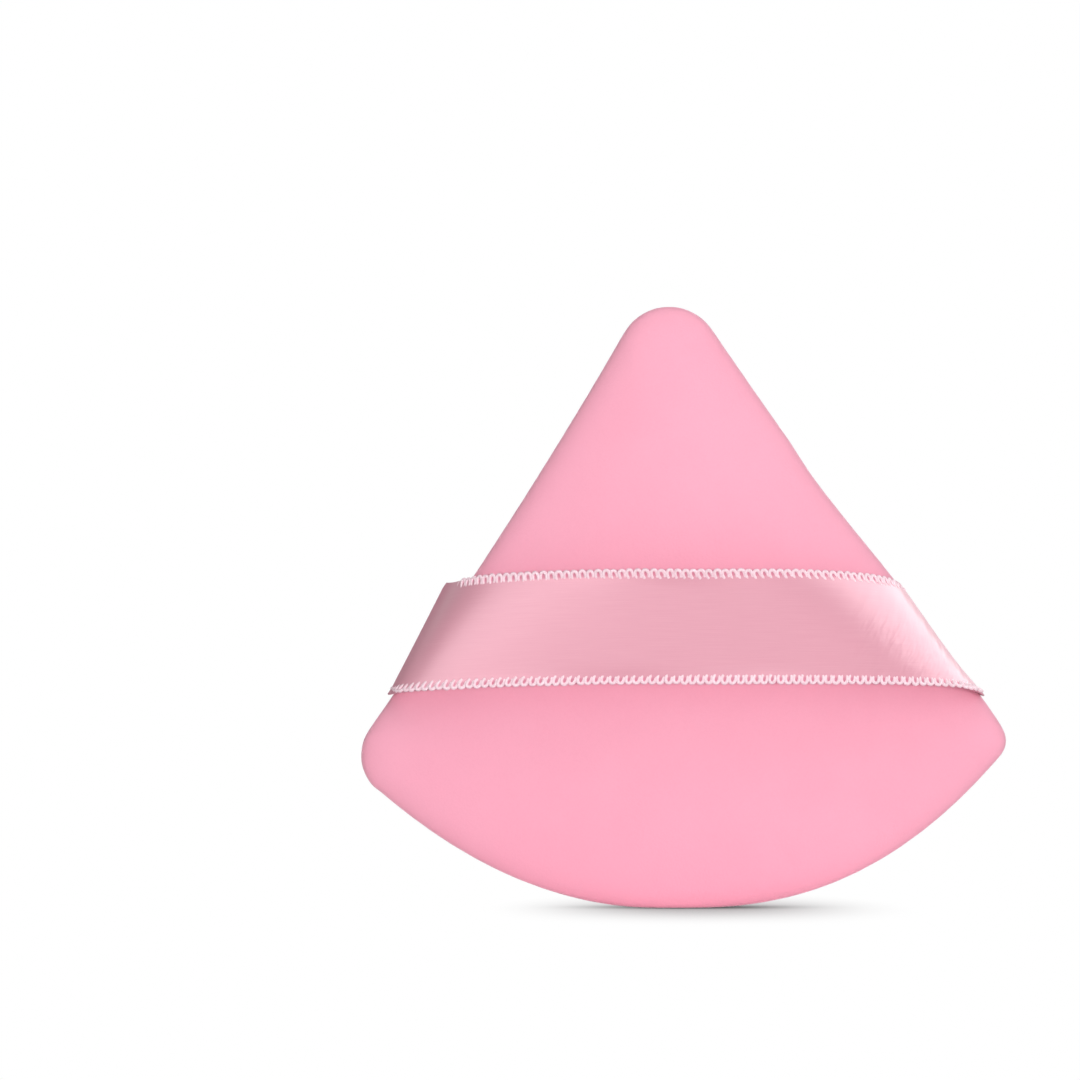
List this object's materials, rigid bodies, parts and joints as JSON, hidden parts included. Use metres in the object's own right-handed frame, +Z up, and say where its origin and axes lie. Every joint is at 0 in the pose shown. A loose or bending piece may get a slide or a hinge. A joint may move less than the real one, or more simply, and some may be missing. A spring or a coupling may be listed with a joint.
{
  "type": "powder puff",
  "caption": "Fan-shaped pink velour powder puff with a foam core and a satin picot ribbon hand strap sewn into its side seams.",
  "frame": {"origin": "on the floor under the standing puff, midway across its width and midway between the strap and the skin side", "axes": "+X to the right as seen from the strap side, +Y from the strap towards the skin side, +Z up through the apex"},
  "size_m": [0.0699, 0.0184, 0.0651],
  "materials": {
    "velour": "matte",
    "foam": "matte",
    "satin": "satin",
    "picot_yarn": "satin",
    "thread": "matte"
  },
  "bodies": {
    "pad": {"rear_cover": "velour", "front_cover": "velour", "foam_core": "foam", "ribbon_tail_left": "satin", "ribbon_tail_right": "satin", "seam_thread": "thread", "closing_thread": "thread"},
    "strap": {"ribbon_strap": "satin", "upper_picot_edge": "picot_yarn", "lower_picot_edge": "picot_yarn"}
  },
  "joints": [
    {"name": "strap_lift", "type": "slide", "parent": "pad", "child": "strap", "axis": [0, -1, 0], "range_m": [0, 0.004]}
  ]
}
